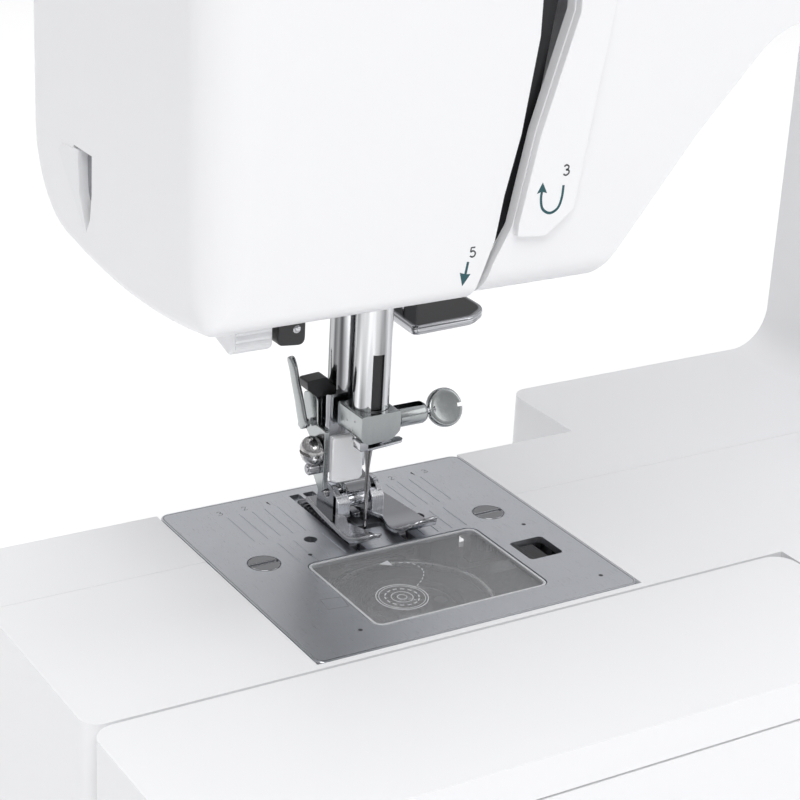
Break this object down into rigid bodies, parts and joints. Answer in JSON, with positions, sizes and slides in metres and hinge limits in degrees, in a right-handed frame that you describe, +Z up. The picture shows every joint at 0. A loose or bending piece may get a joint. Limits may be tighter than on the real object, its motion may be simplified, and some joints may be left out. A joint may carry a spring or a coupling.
{
  "type": "sewing machine",
  "caption": "Domestic free-arm sewing machine: white moulded housings, steel needle plate with clear hook cover, presser foot, handwheel, dials and slide-off extension table.",
  "frame": {"origin": "bottom centre of the machine's bounding box, on the surface that it stands on", "axes": "+X from the needle end to the handwheel, +Y away from the operator, +Z up"},
  "size_m": [0.4, 0.15, 0.292],
  "materials": {
    "white": "moulded white plastic, fine satin gloss",
    "casting": "die-cast aluminium, as cast",
    "black_plastic": "moulded black plastic",
    "rubber": "moulded rubber",
    "plate_steel": "satin brushed stainless steel",
    "steel": "ground steel",
    "chrome": "polished nickel-chrome plating",
    "clear_plastic": "clear moulded plastic",
    "circuit_board": "coated laminate"
  },
  "bodies": {
    "machine": {"base_cover": "white", "front_housing": "white", "rear_housing": "white", "head_cover": "white", "front_panel": "white", "top_cover": "white", "chassis": "casting", "rubber_feet": "rubber", "needle_plate": "plate_steel", "plate_screws": "chrome", "thread_cutter": "white", "lamp": "clear_plastic", "tension_discs": "chrome", "power_socket": "black_plastic", "motor_body": "steel", "circuit_board": "circuit_board", "bobbin_case": "black_plastic", "timing_belt": "rubber", "motor_belt": "rubber", "housing_screws": "steel", "winder_stop": "white"},
    "main_shaft": {"upper_shaft": "steel", "handwheel": "white", "crank": "steel"},
    "lower_shaft": {"lower_shaft": "steel"},
    "hook": {"hook_race": "steel"},
    "motor_rotor": {"motor_rotor": "steel"},
    "bobbin": {"bobbin": "clear_plastic"},
    "needle_bar_frame": {"needle_bar_frame": "casting"},
    "needle_bar": {"needle_bar": "chrome", "needle_clamp": "chrome", "needle": "chrome"},
    "clamp_screw": {"clamp_screw": "chrome"},
    "connecting_link": {"connecting_link": "casting"},
    "take_up_lever": {"take_up_lever": "chrome"},
    "presser_bar": {"presser_bar": "chrome", "foot_holder": "chrome", "holder_screw": "chrome"},
    "presser_lifter": {"presser_lifter": "chrome"},
    "presser_foot": {"presser_foot": "chrome"},
    "foot_release_lever": {"foot_release_lever": "chrome"},
    "feed_bar": {"feed_bar": "casting"},
    "feed_dog": {"feed_dog": "steel"},
    "buttonhole_lever": {"buttonhole_lever": "white"},
    "threader_lever": {"threader_lever": "black_plastic"},
    "hook_cover": {"hook_cover": "clear_plastic"},
    "cover_button": {"cover_button": "black_plastic"},
    "reverse_lever": {"reverse_lever": "white"},
    "pattern_dial": {"pattern_dial": "white"},
    "stitch_length_dial": {"stitch_length_dial": "white"},
    "tension_dial": {"tension_dial": "white"},
    "winder_arm": {"winder_arm": "casting"},
    "winder_spindle": {"winder_spindle": "chrome"},
    "spool_pin": {"spool_pin": "black_plastic"},
    "carry_handle": {"carry_handle": "white"},
    "power_switch": {"power_switch": "black_plastic"},
    "drop_feed_lever": {"drop_feed_lever": "black_plastic"},
    "extension_table": {"extension_table": "white"},
    "table_lid": {"table_lid": "white"}
  },
  "joints": [
    {"name": "handwheel_turn", "type": "hinge", "parent": "machine", "child": "main_shaft", "pos_m": [0.0886, 0.022, 0.248], "axis": [1, 0, 0], "continuous": true},
    {"name": "lower_shaft_turn", "type": "hinge", "parent": "machine", "child": "lower_shaft", "pos_m": [-0.0114, 0.022, 0.05], "axis": [1, 0, 0], "continuous": true},
    {"name": "hook_turn", "type": "hinge", "parent": "machine", "child": "hook", "pos_m": [-0.1108, 0.0015, 0.068], "axis": [0, 0, 1], "continuous": true},
    {"name": "motor_turn", "type": "hinge", "parent": "machine", "child": "motor_rotor", "pos_m": [0.0886, -0.006, 0.043], "axis": [1, 0, 0], "continuous": true},
    {"name": "bobbin_spin", "type": "hinge", "parent": "machine", "child": "bobbin", "pos_m": [-0.1108, 0.0015, 0.072], "axis": [0, 0, 1], "continuous": true},
    {"name": "zigzag_swing", "type": "hinge", "parent": "machine", "child": "needle_bar_frame", "pos_m": [-0.1114, 0.008, 0.275], "axis": [0, 1, 0], "range_deg": [-1, 1]},
    {"name": "needle_bar_stroke", "type": "slide", "parent": "needle_bar_frame", "child": "needle_bar", "axis": [0, 0, 1], "range_m": [-0.001, 0.03]},
    {"name": "clamp_screw_turn", "type": "hinge", "parent": "needle_bar", "child": "clamp_screw", "pos_m": [-0.0994, 0.022, 0.1136], "axis": [1, 0, 0], "range_deg": [-360, 0]},
    {"name": "link_swing", "type": "hinge", "parent": "needle_bar", "child": "connecting_link", "pos_m": [-0.1054, 0.022, 0.1925], "axis": [1, 0, 0], "range_deg": [-20, 20]},
    {"name": "take_up_swing", "type": "hinge", "parent": "machine", "child": "take_up_lever", "pos_m": [-0.0954, 0.038, 0.274], "axis": [1, 0, 0], "range_deg": [-16, 16]},
    {"name": "presser_bar_lift", "type": "slide", "parent": "machine", "child": "presser_bar", "axis": [0, 0, 1], "range_m": [0, 0.006]},
    {"name": "presser_lifter_swing", "type": "hinge", "parent": "machine", "child": "presser_lifter", "pos_m": [-0.0894, 0.048, 0.18], "axis": [1, 0, 0], "range_deg": [0, 50]},
    {"name": "foot_pitch", "type": "hinge", "parent": "presser_bar", "child": "presser_foot", "pos_m": [-0.1114, 0.03, 0.0944], "axis": [1, 0, 0], "range_deg": [-3.5, 1.5], "stiffness_Nm_per_rad": 0.02},
    {"name": "foot_release", "type": "hinge", "parent": "presser_bar", "child": "foot_release_lever", "pos_m": [-0.1211, 0.0344, 0.11], "axis": [1, 0, 0], "range_deg": [0, 12], "stiffness_Nm_per_rad": 0.05},
    {"name": "feed_drop", "type": "slide", "parent": "machine", "child": "feed_bar", "axis": [0, 0, 1], "range_m": [-0.0023, 0]},
    {"name": "feed_stroke", "type": "slide", "parent": "feed_bar", "child": "feed_dog", "axis": [0, 1, 0], "range_m": [-0.002, 0.002]},
    {"name": "buttonhole_lever_pull", "type": "slide", "parent": "machine", "child": "buttonhole_lever", "axis": [0, 0, 1], "range_m": [-0.02, 0]},
    {"name": "threader_pull", "type": "slide", "parent": "machine", "child": "threader_lever", "axis": [0, 0, 1], "range_m": [-0.018, 0], "stiffness_N_per_m": 60, "springref_m": 0.002},
    {"name": "hook_cover_lift", "type": "slide", "parent": "machine", "child": "hook_cover", "axis": [0, 0, 1], "range_m": [0, 0.0018]},
    {"name": "cover_button_slide", "type": "slide", "parent": "machine", "child": "cover_button", "axis": [1, 0, 0], "range_m": [0, 0.002], "stiffness_N_per_m": 300, "springref_m": -0.0005},
    {"name": "reverse_press", "type": "hinge", "parent": "machine", "child": "reverse_lever", "pos_m": [0.0886, 0.004, 0.115], "axis": [1, 0, 0], "range_deg": [0, 12], "stiffness_Nm_per_rad": 0.3, "springref_deg": -5.73},
    {"name": "pattern_dial_turn", "type": "hinge", "parent": "machine", "child": "pattern_dial", "pos_m": [0.1166, -0.022, 0.154], "axis": [0, 1, 0], "continuous": true},
    {"name": "stitch_length_turn", "type": "hinge", "parent": "machine", "child": "stitch_length_dial", "pos_m": [0.1166, -0.022, 0.216], "axis": [0, 1, 0], "range_deg": [-270, 0]},
    {"name": "tension_dial_turn", "type": "hinge", "parent": "machine", "child": "tension_dial", "pos_m": [-0.0494, -0.007, 0.267], "axis": [1, 0, 0], "range_deg": [0, 320]},
    {"name": "winder_shift", "type": "hinge", "parent": "machine", "child": "winder_arm", "pos_m": [0.1106, 0.04, 0.27], "axis": [0, 0, 1], "range_deg": [-7, 0]},
    {"name": "winder_spin", "type": "hinge", "parent": "winder_arm", "child": "winder_spindle", "pos_m": [0.1446, 0.04, 0.273], "axis": [0, 0, 1], "continuous": true},
    {"name": "spool_pin_fold", "type": "hinge", "parent": "machine", "child": "spool_pin", "pos_m": [-0.0094, 0.04, 0.287], "axis": [0, 1, 0], "range_deg": [-75, 0]},
    {"name": "handle_fold", "type": "hinge", "parent": "machine", "child": "carry_handle", "pos_m": [0.0286, 0.016, 0.2885], "axis": [1, 0, 0], "range_deg": [-90, 0]},
    {"name": "power_switch_rock", "type": "hinge", "parent": "machine", "child": "power_switch", "pos_m": [0.1786, 0.048, 0.029], "axis": [0, 1, 0], "range_deg": [0, 11]},
    {"name": "drop_feed_slide", "type": "slide", "parent": "machine", "child": "drop_feed_lever", "axis": [1, 0, 0], "range_m": [0, 0.008]},
    {"name": "table_slide", "type": "slide", "parent": "machine", "child": "extension_table", "axis": [1, 0, 0], "range_m": [-0.17, 0]},
    {"name": "table_lid_turn", "type": "hinge", "parent": "extension_table", "child": "table_lid", "pos_m": [-0.1114, -0.0724, 0.012], "axis": [1, 0, 0], "range_deg": [0, 95]}
  ],
  "couplings": [
    {"joint": "lower_shaft_turn", "follows": "handwheel_turn", "ratio": 1},
    {"joint": "hook_turn", "follows": "handwheel_turn", "ratio": -2},
    {"joint": "motor_turn", "follows": "handwheel_turn", "ratio": 4},
    {"joint": "presser_bar_lift", "follows": "presser_lifter_swing", "m_per_rad": 0.006875}
  ]
}
